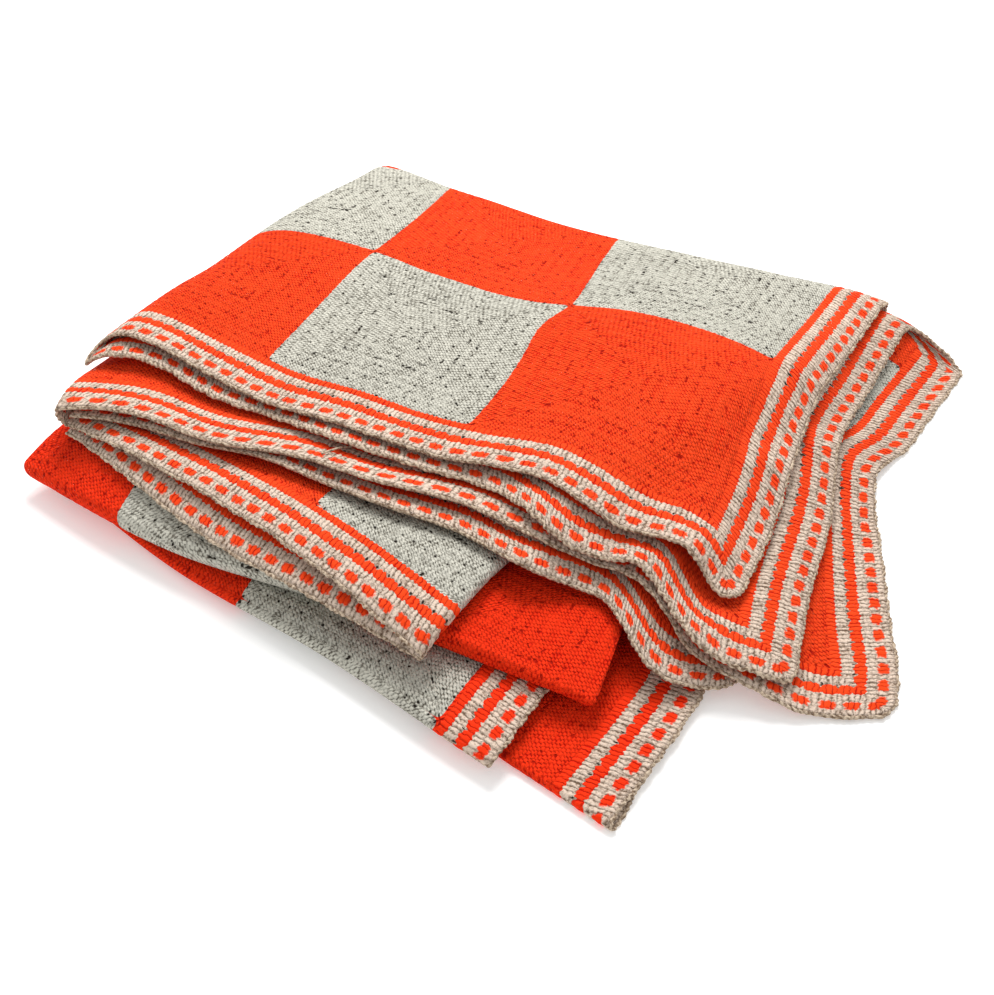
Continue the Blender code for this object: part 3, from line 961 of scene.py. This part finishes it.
def crochet_material(name, orange):
    """Worsted wool, crocheted.

    The eye sees dull round stitches in columns, a flecked grey and a clear orange-red, and dark pin holes.
    The shade down between the stitches and in the holes is painted into the colour.
    """
    material, tree = new_material(name)
    known, on_cloth = cloth_places(tree)
    for label, scale, ways in WANDERS:
        noise = add_node(
            tree, "ShaderNodeTexNoise", {"Vector": on_cloth, "Scale": scale, "Detail": WANDER_LAYERS}
        )
        split = add_node(tree, "ShaderNodeSeparateXYZ", {0: noise.outputs["Color"]})
        for way, output in zip(ways, split.outputs):
            known[f"{label}_{way}"] = add_node(
                tree, "ShaderNodeMath", {0: output, 1: 0.5}, operation="SUBTRACT"
            ).outputs[0]
    add_steps(
        tree, SQUARE_STEPS + BORDER_STEPS + row_steps() + CHOICE_STEPS + STITCH_STEPS + HOLE_STEPS, known
    )

    # Chance draws one number for each stitch and one for each group of stitches.
    rows = add_node(
        tree, "ShaderNodeMath", {0: known["row"], 1: WRAPS_APART, 2: known["wrap"]}, operation="MULTIPLY_ADD"
    ).outputs[0]
    draws = {
        "tone": {0: known["column"], 1: rows, 2: known["at_side"]},
        "chance": {0: known["group"], 1: known["row"], 2: known["square_x"]},
    }
    for label, numbers in draws.items():
        spot = add_node(tree, "ShaderNodeCombineXYZ", numbers).outputs[0]
        known[label] = add_node(
            tree, "ShaderNodeTexWhiteNoise", {"Vector": spot}, noise_dimensions="3D"
        ).outputs[0]
    for label, scale, layers in NOISES:
        inputs = {"Vector": on_cloth, "Scale": scale, "Detail": layers, "Roughness": NOISE_ROUGH}
        known[label] = add_node(tree, "ShaderNodeTexNoise", inputs).outputs[0]
    add_steps(tree, CHANCE_STEPS, known)

    # The dark ends of these mixes are painted shade: down between the stitches, and in the holes.
    colours = (
        ("red", "light", linear(ORANGE_PIT_SHADE), linear(orange)),
        ("grey", "marl_and_shade", linear(GREY_PIT_SHADE), linear(GREY)),
        ("cream", "marl_and_shade", linear(CREAM_PIT_SHADE), linear(CREAM)),
        ("pale", "in_border", "grey", "cream"),
        ("yarn", "orange", "pale", "red"),
        # Painted shade in the holes.
        ("hole_shade", "orange", linear(GREY_HOLE_SHADE), linear(ORANGE_HOLE_SHADE)),
        ("colour", "hole", "yarn", "hole_shade"),
    )
    for label, share, *ends in colours:
        low, high = (known[end] if isinstance(end, str) else end for end in ends)
        inputs = {0: known[share], MIX_FROM: low, MIX_TO: high}
        known[label] = add_node(tree, "ShaderNodeMix", inputs, data_type="RGBA").outputs[MIXED]
    bump = add_node(
        tree, "ShaderNodeBump", {"Height": known["height"], "Strength": 1.0, "Distance": RELIEF}
    ).outputs[0]
    finish_wool(tree, known["colour"], bump)
    return material


def finish_wool(tree, colour, bump):
    """The wool's surface, which is quite dull, with next to no gloss of its own."""
    shader = add_node(
        tree,
        "ShaderNodeBsdfPrincipled",
        {
            "Base Color": colour, "Normal": bump, "Roughness": 0.95, "IOR": 1.45,
            "Specular IOR Level": 0.12,
        },
    )
    add_node(tree, "ShaderNodeOutputMaterial", {0: shader.outputs[0]})


def chain_material():
    """The same wool in a chain: cream cord, its crests painted lighter and its gaps painted in shade, and
    fine fibre.
    """
    material, tree = new_material("chained_wool")
    place = add_node(tree, "ShaderNodeTexCoord").outputs["Object"]
    fleck, fibre = (
        add_node(tree, "ShaderNodeTexNoise", {"Vector": place, "Scale": scale, "Detail": layers}).outputs[0]
        for scale, layers in (CHAIN_FLECKS, CHAIN_FIBRES)
    )
    swell = add_node(tree, "ShaderNodeAttribute", attribute_name="swell").outputs["Fac"]
    # Painted light and shade: the crests lighter, the gaps between the links darker.
    steps = (
        ("light", "MULTIPLY_ADD", "fleck", *CHAIN_MARL),
        ("light", "MULTIPLY_ADD", "swell", CHAIN_CREST_HIGHLIGHT, "light"),
    )
    light = add_steps(tree, steps, {"fleck": fleck, "swell": swell})["light"]
    colours = {0: light, MIX_FROM: linear(CREAM_PIT_SHADE), MIX_TO: linear(CHAIN_CREAM)}
    colour = add_node(tree, "ShaderNodeMix", colours, data_type="RGBA").outputs[MIXED]
    bump = add_node(
        tree, "ShaderNodeBump", {"Height": fibre, "Strength": 1.0, "Distance": CHAIN_RELIEF}
    ).outputs[0]
    finish_wool(tree, colour, bump)
    return material


def floor_material():
    """A plain matt white board with a little light of its own.

    The eye sees no gloss and no mark, and only a pale shadow on it.
    """
    material, tree = new_material("white_floor")
    shader = add_node(
        tree,
        "ShaderNodeBsdfPrincipled",
        {
            "Base Color": linear(FLOOR_WHITE), "Roughness": 0.9, "Emission Color": linear(FLOOR_LIGHT),
            "Emission Strength": FLOOR_GLOW,
        },
    )
    add_node(tree, "ShaderNodeOutputMaterial", {0: shader.outputs[0]})
    return material


def add_floor():
    """A floor wide enough to fill the view."""
    mesh = bpy.data.meshes.new("floor_board")
    corners = [(x * FLOOR_HALF, y * FLOOR_HALF, 0) for x, y in ((-1, -1), (1, -1), (1, 1), (-1, 1))]
    mesh.from_pydata(corners, [], [(0, 1, 2, 3)])
    mesh.materials.append(floor_material())
    board = bpy.data.objects.new("floor_board", mesh)
    bpy.context.scene.collection.objects.link(board)


def add_lights():
    """White light from all round, and a large soft window high up behind the pile, a little to the left."""
    world = bpy.data.worlds.new("studio")
    world.use_nodes = True
    world.node_tree.nodes["Background"].inputs[0].default_value = (1.0, 1.0, 1.0, 1.0)
    world.node_tree.nodes["Background"].inputs[1].default_value = ALL_ROUND_LIGHT
    bpy.context.scene.world = world
    light = bpy.data.lights.new("window", "AREA")
    light.shape = "DISK"
    light.size, light.energy = WINDOW_WIDE, WINDOW_POWER
    window = bpy.data.objects.new("window", light)
    window.location = WINDOW_PLACE
    window.rotation_euler = (-Vector(WINDOW_PLACE)).to_track_quat("-Z", "Y").to_euler()
    bpy.context.scene.collection.objects.link(window)


def add_camera():
    """The photograph's view, down on the pile, with the near side turned away to the right."""
    turn, down = np.radians(VIEW_TURN), np.radians(VIEW_DOWN)
    right = Vector((np.cos(turn), np.sin(turn), 0.0))
    ahead = Vector((-np.sin(turn) * np.cos(down), np.cos(turn) * np.cos(down), -np.sin(down)))
    up = right.cross(ahead)
    data = bpy.data.cameras.new("photo_view")
    data.sensor_fit, data.sensor_width, data.lens = "HORIZONTAL", VIEW_SENSOR, VIEW_LENS
    camera = bpy.data.objects.new("photo_view", data)
    target = Vector((-PILE_MIDDLE[0], -PILE_MIDDLE[1], VIEW_AIM))
    turned = Matrix((right, up, -ahead)).transposed().to_4x4()
    camera.matrix_world = Matrix.Translation(target - VIEW_AWAY * ahead) @ turned
    bpy.context.scene.collection.objects.link(camera)
    bpy.context.scene.camera = camera


def yarn_end(material):
    """The short loose end of yarn that lies on the third layer's border."""
    x, y, rise = np.array(YARN_END).T
    s, t = parts_at("third", x, y)[:2]
    bends = surface("third", s, t)
    bends[:, 2] += rise + YARN_DEEP
    steps = np.linspace(0, len(bends) - 1, YARN_POINTS)
    line = np.stack([np.interp(steps, range(len(bends)), bends[:, i]) for i in range(3)], axis=-1)
    across, up = frames(line)
    angles = np.linspace(0, 2 * np.pi, YARN_SIDES + 1)[:-1] + np.zeros((len(line), 1))
    out, wind = YARN_TWIST
    thick = YARN_THICK / 2 * (1 + out * np.sin(wind * steps[:, None] + angles))
    side, rise = thick * np.cos(angles), thick * np.sin(angles)
    return tube("yarn_end", line, across, up, side, rise, np.ones_like(angles), material)


def add_blanket():
    """All layers of the pile with their edges, put on the root body in place of the solid blanket, which is
    hidden.
    """
    wool, chain = crochet_material("crocheted_wool", ORANGE), chain_material()
    # The lower layers get a redder copy of the wool: painted shade.
    lower_shaded_wool = crochet_material("crocheted_wool_redder_shade", ORANGE_SHADED_LAYERS)
    for name in LAYERS:
        layer = Crochet(name)
        piece = layer.object(lower_shaded_wool if name in LOWER else wool)
        edges = [chain_edge(layer, chain)] if FREE_SIDES[name] and name != UNCHAINED else []
        if name == "third":
            edges.append(yarn_end(chain))
        for part in (piece, *edges):
            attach(part, "root")
            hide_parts("blanket")


def main():
    """Load the frame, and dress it."""
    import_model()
    bpy.context.scene.view_settings.view_transform = "Standard"
    add_floor()
    add_lights()
    add_camera()
    add_blanket()


main()
